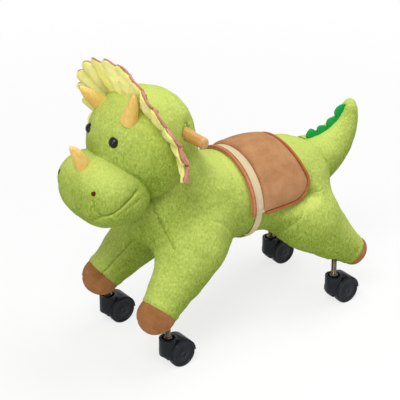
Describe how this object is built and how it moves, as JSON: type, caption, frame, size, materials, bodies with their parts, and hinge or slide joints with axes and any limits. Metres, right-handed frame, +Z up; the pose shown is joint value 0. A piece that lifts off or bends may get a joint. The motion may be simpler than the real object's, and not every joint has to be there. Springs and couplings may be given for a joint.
{
  "type": "ride-on toy",
  "caption": "Plush three-horned dinosaur ride-on with a scalloped frill, saddle, wooden grip bar and swivelling twin-wheel casters.",
  "frame": {"origin": "on the floor under the middle of the object's box", "axes": "-X is the way the head looks, +Z up, -Y the dinosaur's left side"},
  "size_m": [0.625, 0.3, 0.55],
  "materials": {
    "lime_plush": "short pile plush",
    "frill_velour": "velour",
    "frill_back_cloth": "napped cloth",
    "horn_plush": "short pile plush",
    "hoof_suede": "suede cloth",
    "saddle_suede": "suede cloth",
    "piping_suede": "suede cloth over cord",
    "strap_webbing": "brushed cloth band",
    "spike_felt": "felt",
    "dowel_wood": "clear coated hardwood",
    "frame_plywood": "sanded plywood",
    "caster_nylon": "satin moulded nylon",
    "zinc_steel": "zinc plated steel",
    "eye_gloss": "polished plastic"
  },
  "bodies": {
    "dinosaur": {"seat_board": "frame_plywood", "front_rail": "frame_plywood", "rear_rail": "frame_plywood", "neck_post": "frame_plywood", "handle": "dowel_wood", "torso": "lime_plush", "neck": "lime_plush", "head": "lime_plush", "tail": "lime_plush", "tail_spikes": "spike_felt", "saddle": "saddle_suede", "saddle_piping": "piping_suede", "saddle_band": "piping_suede", "girth_strap": "strap_webbing", "keeper_left": "strap_webbing", "keeper_right": "strap_webbing", "frill_front": "frill_velour", "frill_back": "frill_back_cloth", "brow_horn_left": "horn_plush", "brow_horn_right": "horn_plush", "nose_horn": "horn_plush", "eye_left": "eye_gloss", "eye_right": "eye_gloss", "front_left_leg": "lime_plush", "front_left_hoof": "hoof_suede", "front_left_post": "frame_plywood", "front_left_insert": "zinc_steel", "front_left_stem": "zinc_steel", "front_right_leg": "lime_plush", "front_right_hoof": "hoof_suede", "front_right_post": "frame_plywood", "front_right_insert": "zinc_steel", "front_right_stem": "zinc_steel", "rear_left_leg": "lime_plush", "rear_left_hoof": "hoof_suede", "rear_left_post": "frame_plywood", "rear_left_insert": "zinc_steel", "rear_left_stem": "zinc_steel", "rear_right_leg": "lime_plush", "rear_right_hoof": "hoof_suede", "rear_right_post": "frame_plywood", "rear_right_insert": "zinc_steel", "rear_right_stem": "zinc_steel"},
    "front_left_caster": {"front_left_hood": "caster_nylon", "front_left_axle": "zinc_steel"},
    "front_left_wheel_outer_body": {"front_left_wheel_outer": "caster_nylon"},
    "front_left_wheel_inner_body": {"front_left_wheel_inner": "caster_nylon"},
    "front_right_caster": {"front_right_hood": "caster_nylon", "front_right_axle": "zinc_steel"},
    "front_right_wheel_outer_body": {"front_right_wheel_outer": "caster_nylon"},
    "front_right_wheel_inner_body": {"front_right_wheel_inner": "caster_nylon"},
    "rear_left_caster": {"rear_left_hood": "caster_nylon", "rear_left_axle": "zinc_steel"},
    "rear_left_wheel_outer_body": {"rear_left_wheel_outer": "caster_nylon"},
    "rear_left_wheel_inner_body": {"rear_left_wheel_inner": "caster_nylon"},
    "rear_right_caster": {"rear_right_hood": "caster_nylon", "rear_right_axle": "zinc_steel"},
    "rear_right_wheel_outer_body": {"rear_right_wheel_outer": "caster_nylon"},
    "rear_right_wheel_inner_body": {"rear_right_wheel_inner": "caster_nylon"}
  },
  "joints": [
    {"name": "front_left_swivel", "type": "hinge", "parent": "dinosaur", "child": "front_left_caster", "pos_m": [-0.184, -0.0935, 0.057], "axis": [0, 0, 1], "continuous": true},
    {"name": "front_left_outer_spin", "type": "hinge", "parent": "front_left_caster", "child": "front_left_wheel_outer_body", "pos_m": [-0.164, -0.1066, 0.025], "axis": [0, 1, 0], "continuous": true},
    {"name": "front_left_inner_spin", "type": "hinge", "parent": "front_left_caster", "child": "front_left_wheel_inner_body", "pos_m": [-0.164, -0.0804, 0.025], "axis": [0, 1, 0], "continuous": true},
    {"name": "front_right_swivel", "type": "hinge", "parent": "dinosaur", "child": "front_right_caster", "pos_m": [-0.184, 0.0935, 0.057], "axis": [0, 0, 1], "continuous": true},
    {"name": "front_right_outer_spin", "type": "hinge", "parent": "front_right_caster", "child": "front_right_wheel_outer_body", "pos_m": [-0.164, 0.1066, 0.025], "axis": [0, 1, 0], "continuous": true},
    {"name": "front_right_inner_spin", "type": "hinge", "parent": "front_right_caster", "child": "front_right_wheel_inner_body", "pos_m": [-0.164, 0.0804, 0.025], "axis": [0, 1, 0], "continuous": true},
    {"name": "rear_left_swivel", "type": "hinge", "parent": "dinosaur", "child": "rear_left_caster", "pos_m": [0.192, -0.0935, 0.057], "axis": [0, 0, 1], "continuous": true},
    {"name": "rear_left_outer_spin", "type": "hinge", "parent": "rear_left_caster", "child": "rear_left_wheel_outer_body", "pos_m": [0.212, -0.1066, 0.025], "axis": [0, 1, 0], "continuous": true},
    {"name": "rear_left_inner_spin", "type": "hinge", "parent": "rear_left_caster", "child": "rear_left_wheel_inner_body", "pos_m": [0.212, -0.0804, 0.025], "axis": [0, 1, 0], "continuous": true},
    {"name": "rear_right_swivel", "type": "hinge", "parent": "dinosaur", "child": "rear_right_caster", "pos_m": [0.192, 0.0935, 0.057], "axis": [0, 0, 1], "continuous": true},
    {"name": "rear_right_outer_spin", "type": "hinge", "parent": "rear_right_caster", "child": "rear_right_wheel_outer_body", "pos_m": [0.212, 0.1066, 0.025], "axis": [0, 1, 0], "continuous": true},
    {"name": "rear_right_inner_spin", "type": "hinge", "parent": "rear_right_caster", "child": "rear_right_wheel_inner_body", "pos_m": [0.212, 0.0804, 0.025], "axis": [0, 1, 0], "continuous": true}
  ]
}
